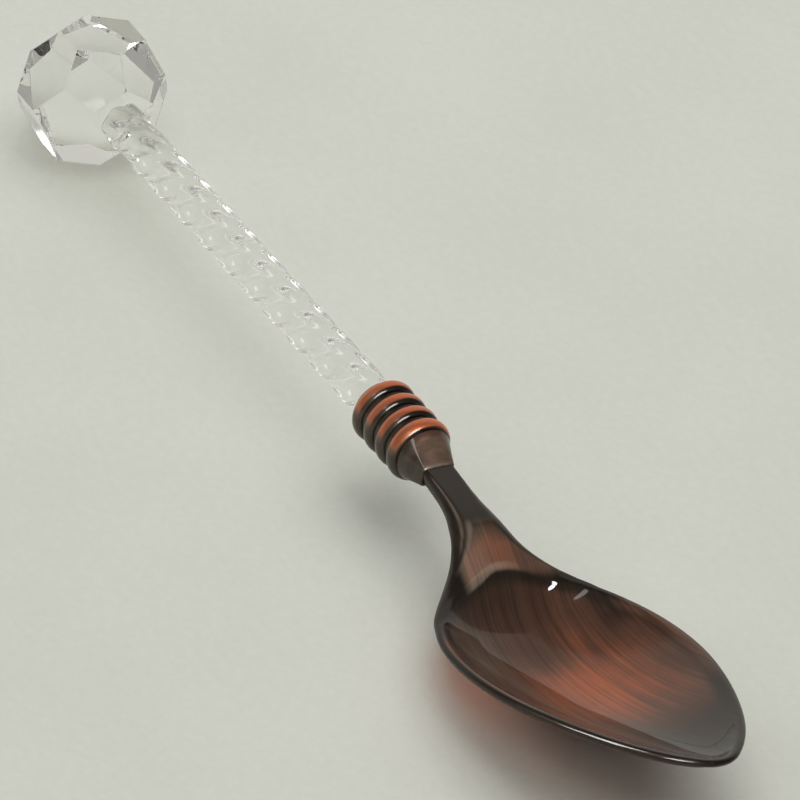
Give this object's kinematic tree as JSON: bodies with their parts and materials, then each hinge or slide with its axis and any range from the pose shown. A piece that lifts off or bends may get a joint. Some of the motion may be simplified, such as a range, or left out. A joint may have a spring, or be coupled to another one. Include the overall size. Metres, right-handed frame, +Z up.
{
  "type": "coffee spoon",
  "caption": "Small spoon with a copper-coloured bowl and ribbed ferrule, a clear twisted handle rod and a clear faceted ball at the end, for stirring coffee and serving sugar.",
  "frame": {"origin": "on the surface that the spoon lies on, under the middle of its bounding box", "axes": "+X along the spoon from the ball to the tip of the bowl, +Z up with the hollow of the bowl facing up, +Y across"},
  "size_m": [0.1372, 0.0256, 0.0149],
  "materials": {
    "antique_copper_head": "antique copper: brushed lengthwise, dark patina in the recesses, clear glossy lacquer",
    "antique_copper_ferrule": "antique copper: polished ring crests, black patina in the grooves, clear glossy lacquer",
    "clear_rod": "clear polished acrylic",
    "clear_ball": "clear polished acrylic with flat facets",
    "clear_adhesive": "clear cured adhesive",
    "solder": "dull silver-grey solder"
  },
  "bodies": {
    "root": {"spoon_bowl": "antique_copper_head", "ribbed_ferrule": "antique_copper_ferrule", "twisted_handle_rod": "clear_rod", "faceted_finial_ball": "clear_ball", "ferrule_adhesive": "clear_adhesive", "finial_adhesive": "clear_adhesive", "neck_solder": "solder"}
  },
  "joints": []
}
